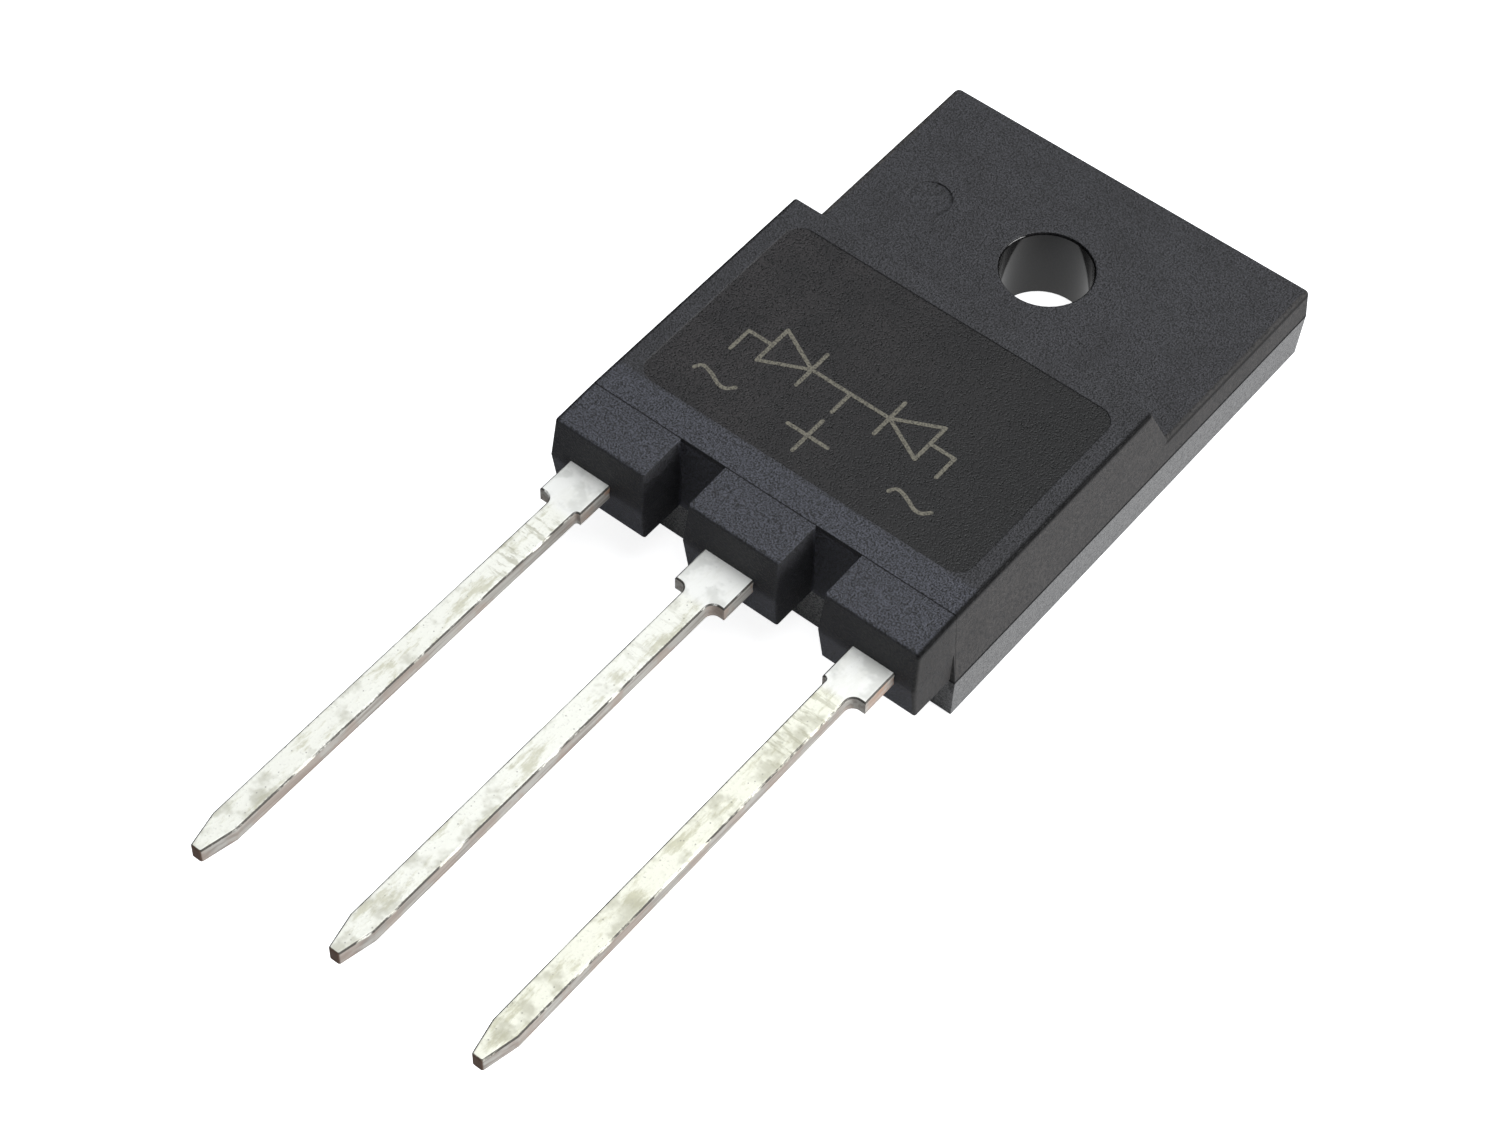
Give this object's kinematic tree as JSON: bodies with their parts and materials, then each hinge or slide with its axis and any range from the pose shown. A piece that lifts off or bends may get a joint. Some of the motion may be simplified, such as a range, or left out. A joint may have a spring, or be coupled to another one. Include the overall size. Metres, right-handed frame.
{
  "type": "fast recovery diode",
  "caption": "Fully moulded power package holding fast recovery diodes with a common cathode: flat straight leads, a marked thick part and a thinner tab with a mounting hole.",
  "frame": {"origin": "on the mounting hole's axis, in the plane of the back face", "axes": "+Z leaves the marked face along the mounting hole, +Y points to the tab's end and the leads run along -Y, +X is to the right seen from above with the tab up"},
  "size_m": [0.0148, 0.0396, 0.0052],
  "materials": {
    "epoxy": "black mould compound with a fine matte grain",
    "tinned_copper": "satin tin plating on stamped copper",
    "silicon": "polished silicon with an aluminium top",
    "solder": "dull grey solder",
    "aluminium_wire": "drawn aluminium"
  },
  "bodies": {
    "root": {"package_body": "epoxy", "cathode_lead": "tinned_copper", "anode_lead_left": "tinned_copper", "anode_lead_right": "tinned_copper", "diode_chip_left": "silicon", "diode_chip_right": "silicon", "chip_solder_left": "solder", "chip_solder_right": "solder", "bond_wire_left_inner": "aluminium_wire", "bond_wire_left_outer": "aluminium_wire", "bond_wire_right_inner": "aluminium_wire", "bond_wire_right_outer": "aluminium_wire"}
  },
  "joints": []
}
